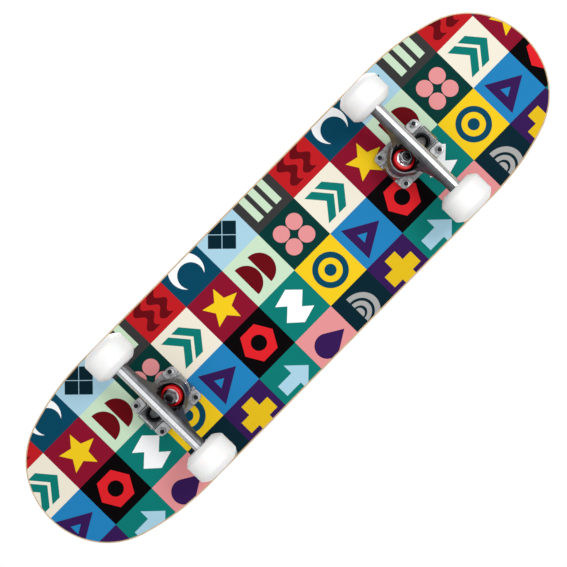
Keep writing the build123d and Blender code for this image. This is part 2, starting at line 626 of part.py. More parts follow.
WHOLE_BOARD_PIECES = {"deck": deck, "grip_tape": grip_tape}
TRUCK_PIECES = {
    "baseplate": baseplate,
    "pivot_cup": pivot_cup,
    "kingpin": kingpin,
    "kingpin_nut": kingpin_nut,
    "washer_boardside": washer_boardside,
    "washer_roadside": washer_roadside,
    "bushing_boardside": bushing_boardside,
    "bushing_roadside": bushing_roadside,
    "hanger": hanger,
    "axle": axle,
    "axle_nuts": axle_nuts,
    "speed_washers": speed_washers,
    "mounting_bolts": mounting_bolts,
    "mounting_nuts": mounting_nuts,
}
WHEEL_PIECES = {
    "wheel": wheel,
    "bearing_outer_races": bearing_outer_races,
    "bearing_inner_races": bearing_inner_races,
    "bearing_shields": bearing_shields,
    "bearing_balls": bearing_balls,
    "bearing_cages": bearing_cages,
    "bearing_spacer": bearing_spacer,
}


def save(piece, label):
    """Name a finished piece and write it out."""
    piece.label = label
    export_step(piece, f"parts/{label}.step")


os.makedirs("parts", exist_ok=True)
for name, built in WHOLE_BOARD_PIECES.items():
    save(built.part, name)
for end, turn in ENDS.items():
    for name, built in TRUCK_PIECES.items():
        save(built.part.rotate(Axis.Z, turn), f"{end}_{name}")
    for side, sign in SIDES.items():
        centre = axle_centre + Vector(0, sign * WHEEL_CENTRE_Y * cos(radians(turn)), 0)
        for name, built in WHEEL_PIECES.items():
            save(built.part.translate(centre).rotate(Axis.Z, turn), f"{end}_{side}_{name}")
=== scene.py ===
import json
from math import atan2, ceil, cos, degrees, hypot, pi, radians, sin, sqrt, tan

import bmesh
import bpy
from mathutils import Matrix, Vector
from mathutils.geometry import delaunay_2d_cdt


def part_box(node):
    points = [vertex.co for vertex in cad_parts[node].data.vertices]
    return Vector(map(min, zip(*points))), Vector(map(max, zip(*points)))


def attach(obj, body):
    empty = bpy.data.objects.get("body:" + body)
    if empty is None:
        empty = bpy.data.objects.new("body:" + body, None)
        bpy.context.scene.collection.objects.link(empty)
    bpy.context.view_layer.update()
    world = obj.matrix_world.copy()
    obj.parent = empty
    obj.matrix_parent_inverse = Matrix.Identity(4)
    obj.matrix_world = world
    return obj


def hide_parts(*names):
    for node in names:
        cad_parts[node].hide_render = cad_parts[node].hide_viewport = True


# A street skateboard standing on its wheels, in metres: +X to the nose, +Y to the left edge and +Z up.

MM = 0.001

# The pressed deck
DECK_BOTTOM = 80 * MM
DECK_THICKNESS = 11 * MM
DECK_LENGTH = 787.4 * MM
DECK_WIDTH = 203.2 * MM
SIDE_END = 230 * MM
TIP_RADIUS = 91.5 * MM
FLAT_HALF_WIDTH = 40 * MM
CONCAVE_RADIUS = 236 * MM
KICK_START = 240 * MM
KICK_RADIUS = 190 * MM
KICK_ANGLE = radians(20.5)
EDGE_ROUNDING = 1.7 * MM
EDGE_STEPS = 8  # round each of the edge's corners
PLY_COUNT = 7
OUTLINE_STEP = 3 * MM  # between points of the outline
SURFACE_STEP = 6 * MM  # between the lines that let the skins follow the pressing
SAME_POINT = 0.001 * MM  # points nearer than this are one

# The printed tiles
COLUMN_PITCH = 57.85 * MM
ROW_PITCH = 57.8 * MM
COLUMN_START = 11.3 * MM  # left edge of the column nearest the middle
ROW_START = -0.6 * MM
PRINT_STRETCH = 0.59  # how much wider the print lies for each metre that the deck rises
PRINT_ROUNDS = 4  # enough for a point's spread and its rise to agree
FIRST_COLUMN = -8
COLUMN_SHIFT = 3

TILE, SHAPE, HOLE = range(3)  # what a loop in a skin stands for
INSIDE_ONLY = 1  # asks delaunay_2d_cdt for no triangles outside the loops

# Trucks and wheels
TRUCK_X = 195.6 * MM
BOLT_PITCH_X = 53.98 * MM
BOLT_PITCH_Y = 41.28 * MM
BOLT_HEAD_HOLE = 4.2 * MM
AXLE_X = 199.6 * MM
AXLE_Z = 27 * MM
TUBE_RADIUS = 7.6 * MM
BRIGHT_START = -0.3 * MM  # from the axle, towards the ends of the board
EDGE_BLEND = 0.4 * MM  # over which one of the hanger's finishes, or its painted shade, turns into another
TUBE_BLEND = (0.15 * MM, 0.9 * MM)  # the same, from the axle tube's radius
BOWL_BLEND = (-0.5 * MM, 0.4 * MM)  # the same, from the bowl's radius
FLOOR_BLEND = 0.6 * MM  # the same, at the bowl's floor
RING_X = 180.3 * MM
RING_Z = 51 * MM
KINGPIN_LEAN = 20  # degrees from the vertical
# How far the hanger's painted bowl shade reaches round the kingpin, and where its floor lies
BOWL_RADIUS = 14.9 * MM
BOWL_FLOOR = 3.2 * MM  # from the ring's middle
WHEEL_RADIUS = 27 * MM
WHEEL_HALF_WIDTH = 17.5 * MM
TREAD_HALF_WIDTH = 10.6 * MM
WHEEL_FACE_RADIUS = 18.2 * MM
WHEEL_SHOULDER = (14.5 * MM, 23.0 * MM)
DISH_DEPTH = 5.5 * MM
DISH_RADIUS = 12.4 * MM
DISH_LIP = (0.4 * MM, 0.5 * MM)  # along the axle and out, from the bearing's face and the dish
BEARING_SEAT = 11.05 * MM
BEARING_STEP = 9 * MM
HALF_SPACER = 5 * MM
CORNER_ROUNDING = 0.8 * MM  # inside the wheel
SHOULDER_STEPS = 16
WHEEL_SEGMENTS = 128
TREAD_MARGIN = 0.05 * MM  # faces this near the wheel's full radius are tread
CREASE_ANGLE = radians(50)

# How the trucks' CAD shapes are worked up
JOIN_DISTANCE = 0.002 * MM
FLAT_ANGLE = radians(0.5)
BREAK_ANGLE = radians(30)
BREAK_SEGMENTS = 2
SMOOTHING = 0.5
CASTINGS = (("hanger", 0.55 * MM, 7), ("baseplate", 0.5 * MM, 5))  # the part, its voxel and smoothing passes

ENDS = ("front", "rear")
SIDES = ("left", "right")

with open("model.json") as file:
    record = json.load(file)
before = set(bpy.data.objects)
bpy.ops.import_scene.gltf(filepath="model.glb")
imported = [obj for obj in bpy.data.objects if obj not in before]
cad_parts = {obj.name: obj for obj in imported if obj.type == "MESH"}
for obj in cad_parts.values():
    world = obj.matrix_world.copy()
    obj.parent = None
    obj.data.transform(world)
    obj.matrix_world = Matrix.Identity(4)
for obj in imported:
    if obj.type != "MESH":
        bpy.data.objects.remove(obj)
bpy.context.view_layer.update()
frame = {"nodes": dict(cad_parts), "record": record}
behaviour = frame["record"]["behaviour"]
slots = {part["node"]: part["material_slot"] for part in frame["record"]["subparts"]}
bodies = {node: body for body, nodes in behaviour["bodies"].items() for node in nodes}


# ---------------------------------------------------------------- materials
class Finish:
    """A Principled material: plain sockets first, then patterns laid over the object's own coordinates."""

    def __init__(self, name, colour, roughness, **sockets):
        self.material = bpy.data.materials.new(name)
        self.material.use_nodes = True
        self.tree = self.material.node_tree
        self.shader = self.tree.nodes["Principled BSDF"]
        self.shader.inputs["Base Color"].default_value = (*linear(colour), 1)
        self.shader.inputs["Roughness"].default_value = roughness
        for socket, value in sockets.items():
            self.shader.inputs[socket.replace("_", " ")].default_value = value
        self.place = self.node("ShaderNodeTexCoord").outputs["Object"]
        self.normal = None

    def node(self, kind, **settings):
        made = self.tree.nodes.new(kind)
        for name, value in settings.items():
            setattr(made, name, value)
        return made

    def link(self, output, target):
        self.tree.links.new(output, target)

    def mapped(self, stretch):
        mapping = self.node("ShaderNodeMapping")
        mapping.inputs["Scale"].default_value = stretch
        self.link(self.place, mapping.inputs["Vector"])
        return mapping.outputs["Vector"]

    def noise(self, scale, detail=3.0, stretch=(1, 1, 1), warp=0.0):
        texture = self.node("ShaderNodeTexNoise")
        texture.inputs["Scale"].default_value = scale
        texture.inputs["Detail"].default_value = detail
        texture.inputs["Distortion"].default_value = warp
        self.link(self.mapped(stretch), texture.inputs["Vector"])
        return texture.outputs["Fac"]

    def cells(self, scale, feature="F1"):
        texture = self.node("ShaderNodeTexVoronoi", feature=feature)
        texture.inputs["Scale"].default_value = scale
        self.link(self.place, texture.inputs["Vector"])
        return texture.outputs

    def ranged(self, pattern, low, high, start=0.0, end=1.0):
        """pattern between start and end, spread from low to high."""
        spread = self.node("ShaderNodeMapRange", interpolation_type="SMOOTHSTEP")
        self.link(pattern, spread.inputs["Value"])
        for socket, value in (("From Min", start), ("From Max", end), ("To Min", low), ("To Max", high)):
            spread.inputs[socket].default_value = value
        return spread.outputs["Result"]

    def maths(self, operation, *values):
        step = self.node("ShaderNodeMath", operation=operation)
        for socket, value in zip(step.inputs, values):
            if isinstance(value, (int, float)):
                socket.default_value = value
            else:
                self.link(value, socket)
        return step.outputs[0]

    def blend(self, pattern, first, second):
        """A colour between first and second, each a colour or another pattern's output."""
        mix = self.node("ShaderNodeMix", data_type="RGBA")
        self.link(pattern, mix.inputs["Factor"])
        for name, value in (("A", first), ("B", second)):
            socket = next(s for s in mix.inputs if s.name == name and s.type == "RGBA")
            if isinstance(value, tuple):
                socket.default_value = (*linear(value), 1)
            else:
                self.link(value, socket)
        return next(s for s in mix.outputs if s.type == "RGBA")

    def colour(self, output):
        self.link(output, self.shader.inputs["Base Color"])
        return self

    def rough(self, output):
        self.link(output, self.shader.inputs["Roughness"])
        return self

    def bump(self, pattern, depth):
        """Relief of the given depth in metres, on top of any laid before."""
        relief = self.node("ShaderNodeBump")
        relief.inputs["Distance"].default_value = depth
        relief.inputs["Strength"].default_value = 1
        self.link(pattern, relief.inputs["Height"])
        if self.normal:
            self.link(self.normal, relief.inputs["Normal"])
        self.normal = relief.outputs["Normal"]
        self.link(self.normal, self.shader.inputs["Normal"])
        return self


def linear(colour):
    """A display colour from 0 to 255 as scene-linear numbers."""
    shares = [channel / 255 for channel in colour]
    return tuple(s / 12.92 if s <= 0.04045 else ((s + 0.055) / 1.055) ** 2.4 for s in shares)


def ink(name, colour):
    """Screen-printed ink under a thin lacquer: one flat colour with a fine uneven gloss."""
    finish = Finish(f"ink_{name}", colour, 0.5, Specular_IOR_Level=0.03)
    finish.rough(finish.ranged(finish.noise(160, 5), 0.44, 0.6, 0.3, 0.7))
    finish.bump(finish.noise(900, 2), 0.01 * MM)
    return finish.material


def maple(name, light, dark, across):
    """Rotary-cut maple veneer, its grain along the board or across it."""
    finish = Finish(name, light, 0.45, Coat_Weight=0.15, Coat_Roughness=0.3)
    stretch = (22, 2, 22) if across else (2, 22, 22)
    grain = finish.noise(9, 6, stretch, warp=1.2)
    pores = finish.noise(60, 3, stretch)
    tone = finish.blend(finish.ranged(grain, 0, 1, 0.3, 0.7), light, dark)
    finish.colour(finish.blend(finish.ranged(pores, 0, 0.45, 0.55, 0.75), tone, dark))
    finish.rough(finish.ranged(grain, 0.38, 0.55))
    finish.bump(pores, 0.04 * MM)
    return finish.material


def grit():
    """Black silicon carbide grit, with a few grains painted lighter as painted glint, and glossier too."""
    finish = Finish("grip_grit", (18, 18, 19), 0.85, Specular_IOR_Level=0.35)
    grains = finish.cells(1500)
    clumps = finish.noise(45, 4)
    dark = finish.blend(finish.ranged(clumps, 0, 1, 0.3, 0.7), (13, 13, 14), (27, 27, 29))
    # A few grains painted light grey as painted glint, and given a lower roughness
    painted_glint_and_gloss = finish.ranged(finish.noise(2600, 1), 0, 1, 0.66, 0.74)
    finish.colour(finish.blend(painted_glint_and_gloss, dark, (92, 92, 98)))
    finish.rough(finish.ranged(painted_glint_and_gloss, 0.9, 0.45))
    finish.bump(grains["Distance"], 0.35 * MM)
    return finish.material


def metal(name, colour, roughness, uneven=0.08, relief=0.004 * MM, scale=250, **sockets):
    """Plain metal: slightly uneven in tone and gloss, with a fine surface relief."""
    finish = Finish(name, colour, roughness, Metallic=1.0, **sockets)
    pattern = finish.noise(scale, 5)
    darker = tuple(channel * (1 - uneven) for channel in colour)
    finish.colour(finish.blend(finish.ranged(pattern, 0, 1, 0.3, 0.7), colour, darker))
    finish.rough(finish.ranged(finish.noise(scale / 3, 4), roughness * 0.8, roughness * 1.25, 0.3, 0.7))
    finish.bump(pattern, relief)
    return finish.material


def hanger_metal():
    """Tumbled cast aluminium: the axle tube turned bright on its outer side, the bowl painted near black as
    painted shade.
    """
    finish = Finish("hanger_aluminium", (150, 151, 154), 0.4, Metallic=1.0)
    where = finish.node("ShaderNodeSeparateXYZ")
    finish.link(finish.place, where.inputs[0])
    reach = finish.maths("ABSOLUTE", where.outputs["X"])

    def distance(*offsets):
        squares = [finish.maths("MULTIPLY", offset, offset) for offset in offsets]
        total = squares[0]
        for square in squares[1:]:
            total = finish.maths("ADD", total, square)
        return finish.maths("SQRT", total)

    # cast is 0 on the bright metal, which is the tube's skin outboard of the axle
    out = finish.maths("SUBTRACT", reach, AXLE_X)
    up = finish.maths("SUBTRACT", where.outputs["Z"], AXLE_Z)
    inboard = finish.ranged(out, 1, 0, BRIGHT_START - EDGE_BLEND, BRIGHT_START)
    off_tube = finish.ranged(distance(out, up), 0, 1, *(TUBE_RADIUS + blend for blend in TUBE_BLEND))
    cast = finish.maths("MAXIMUM", inboard, off_tube)
    # the mask below is 0 in the bowl's painted shade, which is round the kingpin, below its floor and short
    # of the tube
    along = finish.maths("SUBTRACT", reach, RING_X)
    level = finish.maths("SUBTRACT", where.outputs["Z"], RING_Z)
    lean = radians(KINGPIN_LEAN)
    across = finish.maths(
        "ADD", finish.maths("MULTIPLY", along, cos(lean)), finish.maths("MULTIPLY", level, sin(lean))
    )
    depth = finish.maths(
        "SUBTRACT", finish.maths("MULTIPLY", along, sin(lean)), finish.maths("MULTIPLY", level, cos(lean))
    )
    beside = distance(across, where.outputs["Y"])
    open_side = finish.ranged(beside, 0, 1, *(BOWL_RADIUS + blend for blend in BOWL_BLEND))
    behind = finish.ranged(depth, 1, 0, BOWL_FLOOR - FLOOR_BLEND, BOWL_FLOOR)
    tube_side = finish.ranged(out, 0, 1, -TUBE_RADIUS - EDGE_BLEND, -TUBE_RADIUS)
    outside = finish.maths("MAXIMUM", finish.maths("MAXIMUM", open_side, behind), tube_side)
    blotch = finish.noise(70, 5)
    casting = finish.blend(finish.ranged(blotch, 0, 1, 0.3, 0.7), (128, 129, 132), (96, 97, 100))
    # Near black in the bowl: painted shade laid over the casting's own tone
    cast_with_painted_shade = finish.blend(outside, (22, 22, 23), casting)
    turning = finish.noise(90, 3, (1, 14, 1))
    bright = finish.blend(finish.ranged(turning, 0, 1, 0.3, 0.7), (244, 245, 246), (228, 229, 231))
    finish.colour(finish.blend(cast, bright, cast_with_painted_shade))
    finish.rough(finish.maths("MULTIPLY_ADD", cast, 0.2, finish.ranged(turning, 0.22, 0.3)))
    sand = finish.maths("MULTIPLY", finish.noise(900, 3), cast)
    finish.bump(sand, 0.12 * MM)
    finish.bump(turning, 0.004 * MM)
    return finish.material


def urethane(name, colour, shade, roughness, **sockets):
    """Cast urethane: even in colour, with a faint mottle and a soft skin."""
    finish = Finish(name, colour, roughness, **sockets)
    mottle = finish.noise(40, 4)
    finish.colour(finish.blend(finish.ranged(mottle, 0, 1, 0.3, 0.7), colour, shade))
    finish.rough(finish.ranged(finish.noise(180, 4), roughness * 0.85, roughness * 1.2, 0.3, 0.7))
    finish.bump(finish.noise(700, 3), 0.02 * MM)
    return finish.material


INKS = {
    "red": (187, 28, 34),
    "dark_red": (102, 9, 18),
    "cream": (236, 229, 212),
    "teal": (10, 119, 111),
    "blue": (34, 126, 184),
    "violet": (52, 24, 82),
    "mustard": (222, 184, 28),
    "petrol": (5, 68, 94),
    "white": (246, 247, 248),
    "maroon": (135, 17, 43),
    "yellow": (238, 199, 30),
    "black": (5, 2, 4),
    "bright_red": (218, 33, 41),
    "sky": (166, 205, 223),
    "navy": (6, 36, 47),
    "mint": (198, 222, 194),
    "pink": (224, 144, 146),
    "charcoal": (56, 55, 56),
    "forest": (4, 54, 50),
    "grey": (164, 164, 163),
}
inks = {name: ink(name, colour) for name, colour in INKS.items()}
white_side = urethane("urethane_side", (250, 250, 249), (246, 246, 245), 0.38, Subsurface_Weight=0.12)
white_tread = urethane("urethane_tread", (248, 248, 247), (243, 243, 242), 0.6, Subsurface_Weight=0.12)
for skin in (white_side, white_tread):
    skin.node_tree.nodes["Principled BSDF"].inputs["Subsurface Scale"].default_value = 2 * MM
plies = [
    maple("maple_long", (224, 194, 152), (200, 164, 118), across=False),
    maple("maple_cross", (198, 160, 114), (166, 128, 86), across=True),
]
FINISHES = {
    "grip_grit": grit(),
    "cast_baseplate": metal("cast_baseplate", (182, 183, 185), 0.36, 0.16, 0.02 * MM, 300),
    "hanger_aluminium": hanger_metal(),
    "cup_urethane": urethane("cup_urethane", (16, 16, 17), (24, 24, 26), 0.5),
    "bushing_urethane": urethane("bushing_urethane", (225, 8, 22), (205, 6, 18), 0.3, Subsurface_Weight=0.08),
    "bright_steel": metal("bright_steel", (214, 214, 216), 0.16),
    "hardware_steel": metal("hardware_steel", (176, 177, 180), 0.26, 0.14),
    "black_bolts": metal("black_bolts", (46, 46, 48), 0.38, 0.2),
    "bearing_steel": metal("bearing_steel", (196, 197, 200), 0.14),
    "bearing_shield": urethane("bearing_shield", (34, 34, 36), (42, 42, 44), 0.42),
    "bearing_cage": urethane("bearing_cage", (205, 198, 180), (190, 182, 162), 0.5),
}


# ---------------------------------------------------------------- shapes of the print
# Each shape is a list of closed loops on a tile one unit square, (right, up) from its middle
def arc(middle, radius, start, end, steps=28):
    """Points along an arc about middle, from start to end in degrees, both ends included."""
    turn = radians(end - start) / steps
    angles = [radians(start) + turn * i for i in range(steps + 1)]
    return [(middle[0] + radius * cos(angle), middle[1] + radius * sin(angle)) for angle in angles]


def disc(middle, radius, steps=40):
    return arc(middle, radius, 0, 360, steps)[:-1]


def regular(sides, radius, turn=90.0, middle=(0, 0)):
    return arc(middle, radius, turn, turn + 360, sides)[:-1]


def bar(left, right, bottom, top):
    return [(left, bottom), (right, bottom), (right, top), (left, top)]


def waves():
    """Two bands that rise and fall together."""
    reach, height, half, steps = 0.37, 0.08, 0.1, 30
    across = [(-reach + 2 * reach * i / steps, height * sin(4 * pi * i / steps)) for i in range(steps + 1)]
    loops = []
    for level in (-0.18, 0.18):
        low = [(x, level + y - half) for x, y in across]
        high = [(x, level + y + half) for x, y in across]
        loops.append(low + high[::-1])
    return loops


def chevrons():
    """Two arrowheads, one behind the other."""
    shape = [(-0.34, -0.16), (0, 0.12), (0.34, -0.16), (0.34, 0.04), (0, 0.32), (-0.34, 0.04)]
    return [[(x, y + shift) for x, y in shape] for shift in (-0.21, 0.07)]


def pierced_triangle():
    return [regular(3, 0.45, middle=(0, -0.09)), regular(3, 0.12, middle=(0, -0.09))]


def plus():
    """A cross of two equal bars."""
    reach, half = 0.36, 0.14
    corner = [(half, half), (half, reach), (-half, reach)]
    turns = (0, pi / 2, pi, 3 * pi / 2)
    return [[(x * cos(q) - y * sin(q), x * sin(q) + y * cos(q)) for q in turns for x, y in corner]]


def crescent():
    outer = arc((0, 0), 0.36, 40, 320)
    inner = arc((0.13, 0), 0.269, 300, 60)
    return [outer + inner]


def star():
    """Five points, sharp outside and blunt inside."""
    tips, notches = regular(5, 0.4), regular(5, 0.18, 126)
    return [[point for pair in zip(tips, notches) for point in pair]]


def pierced_hexagon():
    return [regular(6, 0.38), disc((0, 0), 0.16)]


def block_arrow():
    side = [(0.34, 0.02), (0.13, 0.02), (0.13, -0.35)]
    return [[(0, 0.37)] + side + [(-x, y) for x, y in side[::-1]]]


def four_diamonds():
    return [regular(4, 0.19, middle=(x, y)) for x, y in ((0, 0.2), (0.2, 0), (0, -0.2), (-0.2, 0))]


def half_discs():
    return [arc((0, 0.03), 0.33, 0, 180), arc((0, -0.33), 0.33, 0, 180)]


def bolt():
    """A bold zigzag."""
    above = [(-0.36, 0.1), (-0.12, 0.34), (0.1, 0.1), (0.26, 0.28)]
    below = [(0.36, -0.08), (0.12, -0.34), (-0.1, -0.1), (-0.26, -0.28)]
    return [above + below]


def drop():
    return [arc((0, -0.11), 0.25, 150, 390) + [(0, 0.37)]]


def three_bars():
    return [bar(-0.34, 0.34, level - 0.075, level + 0.075) for level in (-0.25, 0, 0.25)]


def clover():
    return [disc((x, y), 0.168) for x in (-0.176, 0.176) for y in (-0.176, 0.176)]


def target():
    return [disc((0, 0), 0.36), disc((0, 0), 0.24), disc((0, 0), 0.12)]


def arches():
    """Two half rings and the half disc that they go round."""
    middle, squeeze = (0, -0.2), 0.85
    rings = ((0.32, 0.44), (0.16, 0.26))
    loops = [arc(middle, outer, 0, 180) + arc(middle, inner, 180, 0) for inner, outer in rings]
    return [[(x * squeeze, y) for x, y in loop] for loop in loops] + [arc(middle, 0.1, 0, 180)]


# Each column type's tiles from the right edge to the left: the shape, its ink and the tile's ink
TILES = (
    (
        (waves, "dark_red", "red"),
        (chevrons, "teal", "cream"),
        (pierced_triangle, "violet", "blue"),
        (plus, "mustard", "violet"),
    ),
    (
        (crescent, "white", "petrol"),
        (star, "yellow", "maroon"),
        (pierced_hexagon, "bright_red", "black"),
        (block_arrow, "sky", "teal"),
    ),
    (
        (four_diamonds, "navy", "sky"),
        (half_discs, "dark_red", "mint"),
        (bolt, "white", "teal"),
        (drop, "violet", "pink"),
    ),
    (
        (three_bars, "mint", "charcoal"),
        (clover, "pink", "forest"),
        (target, "petrol", "yellow"),
        (arches, "grey", "navy"),
    ),
)


# ---------------------------------------------------------------- the pressed deck
def pressed_height(x, y, lift):
    """Height over a point of the plan, for the layer lift above the deck's underside."""
    across = max(abs(y) - FLAT_HALF_WIDTH, 0)
    rise = CONCAVE_RADIUS - sqrt((CONCAVE_RADIUS - lift) ** 2 - across**2)
    beyond = abs(x) - KICK_START
    if beyond <= 0:
        return DECK_BOTTOM + rise
    radius = KICK_RADIUS - rise
    if beyond < radius * sin(KICK_ANGLE):
        return DECK_BOTTOM + KICK_RADIUS - sqrt(radius**2 - beyond**2)
    run = beyond - radius * sin(KICK_ANGLE)
    return DECK_BOTTOM + KICK_RADIUS - radius * cos(KICK_ANGLE) + run * tan(KICK_ANGLE)


def pressed_normal(x, y, lift):
    """The direction straight up out of a pressed layer."""
    step = 0.5 * MM
    slope_x = (pressed_height(x + step, y, lift) - pressed_height(x - step, y, lift)) / (2 * step)
    slope_y = (pressed_height(x, y + step, lift) - pressed_height(x, y - step, lift)) / (2 * step)
    return Vector((-slope_x, -slope_y, 1)).normalized()


def quarter_outline(inset):
    """A quarter of the deck's plan shape drawn in by inset, from the middle of the left edge to the nose."""
    half_width = DECK_WIDTH / 2
    tip_x = DECK_LENGTH / 2 - TIP_RADIUS
    run = tip_x - SIDE_END
    shoulder = (run**2 + half_width**2 - TIP_RADIUS**2) / (DECK_WIDTH - 2 * TIP_RADIUS)
    angle = degrees(atan2(shoulder - half_width, run))
    side_steps = ceil(SIDE_END / OUTLINE_STEP)
    side = [(SIDE_END * i / side_steps, half_width - inset) for i in range(side_steps)]
    shoulder_steps = ceil(shoulder * radians(90 - angle) / OUTLINE_STEP)
    rounded = arc((SIDE_END, half_width - shoulder), shoulder - inset, 90, angle, shoulder_steps)
    tip = arc((tip_x, 0), TIP_RADIUS - inset, angle, 0, ceil(TIP_RADIUS * radians(angle) / OUTLINE_STEP))
    return side + rounded[:-1] + tip


def outline(inset):
    """The whole plan shape as a closed loop."""
    quarter = quarter_outline(inset)
    half = quarter + [(x, -y) for x, y in quarter[-2:0:-1]] + [(0, -quarter[0][1])]
    return half + [(-x, y) for x, y in half[-2:0:-1]]


def rise_of(x, y):
    """How far the pressing lifts the deck's underside over a point of the plan."""
    return pressed_height(x, y, 0) - DECK_BOTTOM


def printed(u, v):
    """Where a point of the flat print lies in the deck's plan: it spreads as the deck rises."""
    x, y = u, v
    for _ in range(PRINT_ROUNDS):
        spread = 1 + PRINT_STRETCH * rise_of(x, y)
        x, y = u * spread, v * spread
    return x, y


def wound(loop):
    """The loop turned, if it has to be, to run anticlockwise."""
    area = sum(a[0] * b[1] - b[0] * a[1] for a, b in zip(loop, loop[1:] + loop[:1]))
    return loop if area > 0 else loop[::-1]


def print_loops():
    """Every tile's square and shape in the plan, each with the ink that it puts down."""
    square = regular(4, sqrt(0.5), 45)
    loops = []
    for column in range(FIRST_COLUMN, -FIRST_COLUMN):
        tiles = TILES[(column + COLUMN_SHIFT) % len(TILES)]
        u = COLUMN_START + (column + 0.5) * COLUMN_PITCH
        for row, (shape, shape_ink, tile_ink) in enumerate(tiles):
            v = ROW_START + (row - len(tiles) / 2 + 0.5) * ROW_PITCH
            flat_loops = [(TILE, tile_ink, square)] + [(SHAPE, shape_ink, loop) for loop in shape()]
            for layer, ink_name, loop in flat_loops:
                placed = [printed(u + up * COLUMN_PITCH, v + right * ROW_PITCH) for right, up in loop]
                loops.append((layer, ink_name, wound(placed)))
    return loops


def bolt_head_holes():
    """The openings in the deck's top face that the mounting bolts' heads fill."""
    across, along = BOLT_PITCH_Y / 2, BOLT_PITCH_X / 2
    return [
        (HOLE, None, disc((end * TRUCK_X + shift, y), BOLT_HEAD_HOLE))
        for end in (-1, 1)
        for shift in (-along, along)
        for y in (-across, across)
    ]


def skin_mesh(name, lift, inset, loops, material_names):
    """A pressed layer's face cut to the outline, with the loops' inks on it, or all of the first material."""
    points, edges, faces = [], [], []

    def add_loop(loop):
        first = len(points)
        points.extend(loop)
        faces.append(list(range(first, len(points))))

    add_loop(wound(outline(inset)))
    for _, _, loop in loops:
        add_loop(loop)
    half_x, half_y = DECK_LENGTH / 2, DECK_WIDTH / 2
    kick_steps = range(-1, ceil((half_x - KICK_START) / SURFACE_STEP))
    side_steps = range(ceil((half_y - FLAT_HALF_WIDTH) / SURFACE_STEP))
    lines_x = [sign * (KICK_START + i * SURFACE_STEP) for sign in (-1, 1) for i in kick_steps]
    lines_y = [sign * (FLAT_HALF_WIDTH + i * SURFACE_STEP) for sign in (-1, 1) for i in side_steps]
    ends = [((x, -half_y), (x, half_y)) for x in lines_x]
    ends += [((-half_x, y), (half_x, y)) for y in lines_y]
    for start, end in ends:
        edges.append((len(points), len(points) + 1))
        points.extend((start, end))

    places, _, triangles, _, _, origins = delaunay_2d_cdt(
        [Vector(point) for point in points], edges, faces, INSIDE_ONLY, SAME_POINT
    )
    kept, indices = [], []
    for triangle, sources in zip(triangles, origins):
        if 0 not in sources:
            continue
        marks = [loops[source - 1] for source in sources if source]
        if any(layer == HOLE for layer, _, _ in marks):
            continue
        inked = [mark for mark in marks if mark[0] == SHAPE]
        chosen = inked if len(inked) % 2 else [mark for mark in marks if mark[0] == TILE]
        kept.append(triangle if lift else triangle[::-1])
        indices.append(material_names.index(chosen[0][1]) if chosen else 0)
    vertices = [(p.x, p.y, pressed_height(p.x, p.y, lift)) for p in places]
    mesh = bpy.data.meshes.new(name)
    mesh.from_pydata(vertices, [], kept)
    mesh.polygons.foreach_set("material_index", indices)
    mesh.shade_smooth()
    sign = 1 if lift else -1
    mesh.normals_split_custom_set_from_vertices([sign * pressed_normal(x, y, lift) for x, y, _ in vertices])
    return mesh


def show(mesh, name, body, materials, replaced=()):
    """Put a finished mesh in the scene, riding on its body."""
    piece = bpy.data.objects.new(name, mesh)
    bpy.context.collection.objects.link(piece)
    for material in materials:
        mesh.materials.append(material)
    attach(piece, body)
    if replaced:
        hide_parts(*replaced)


def loose_removed(mesh):
    """Drop the points that no face uses."""
    work = bmesh.new()
    work.from_mesh(mesh)
    bmesh.ops.delete(work, geom=[v for v in work.verts if not v.link_faces], context="VERTS")
    work.to_mesh(mesh)
    work.free()
    return mesh


def edge_profile():
    """(inset, lift) up the deck's rounded edge, with a point at every glue line."""
    lifts = {i * DECK_THICKNESS / PLY_COUNT for i in range(1, PLY_COUNT)}
    for i in range(EDGE_STEPS + 1):
        angle = pi / 2 * i / EDGE_STEPS
        lifts.add(EDGE_ROUNDING * (1 - cos(angle)))
        lifts.add(DECK_THICKNESS - EDGE_ROUNDING * (1 - cos(angle)))
    profile = []
    for lift in sorted(lifts):
        depth = max(EDGE_ROUNDING - min(lift, DECK_THICKNESS - lift), 0)
        profile.append((EDGE_ROUNDING - sqrt(EDGE_ROUNDING**2 - depth**2), lift))
    return profile


def deck_edge_mesh():
    """The band round the deck, one stripe to a ply."""
    profile = edge_profile()
    rings = [[(x, y, pressed_height(x, y, lift)) for x, y in outline(inset)] for inset, lift in profile]
    count = len(rings[0])
    faces, indices = [], []
    for level in range(len(rings) - 1):
        middle = (profile[level][1] + profile[level + 1][1]) / 2
        ply = int(middle / DECK_THICKNESS * PLY_COUNT)
        for i in range(count):
            j = (i + 1) % count
            below, above = level * count, (level + 1) * count
            faces.append((below + j, below + i, above + i, above + j))
            indices.append(ply % 2)
    mesh = bpy.data.meshes.new("deck_edge")
    mesh.from_pydata([point for ring in rings for point in ring], [], faces)
    mesh.polygons.foreach_set("material_index", indices)
    mesh.shade_smooth()
    return mesh


underside = skin_mesh("deck_print", 0, EDGE_ROUNDING, print_loops(), list(INKS))
show(loose_removed(underside), "deck_print", "board", inks.values())
top = skin_mesh("deck_top", DECK_THICKNESS, EDGE_ROUNDING, bolt_head_holes(), [])
show(loose_removed(top), "deck_top", "board", plies[:1])
show(deck_edge_mesh(), "deck_edge", "board", plies, ["deck"])


# ---------------------------------------------------------------- trucks
def node_mesh(node):
    """A copy of a CAD node's mesh, its doubled points joined."""
    mesh = bpy.data.meshes.new(f"{node}_shape")
    work = bmesh.new()
    work.from_mesh(frame["nodes"][node].data)
    bmesh.ops.remove_doubles(work, verts=work.verts, dist=JOIN_DISTANCE)
    work.to_mesh(mesh)
    work.free()
    return mesh


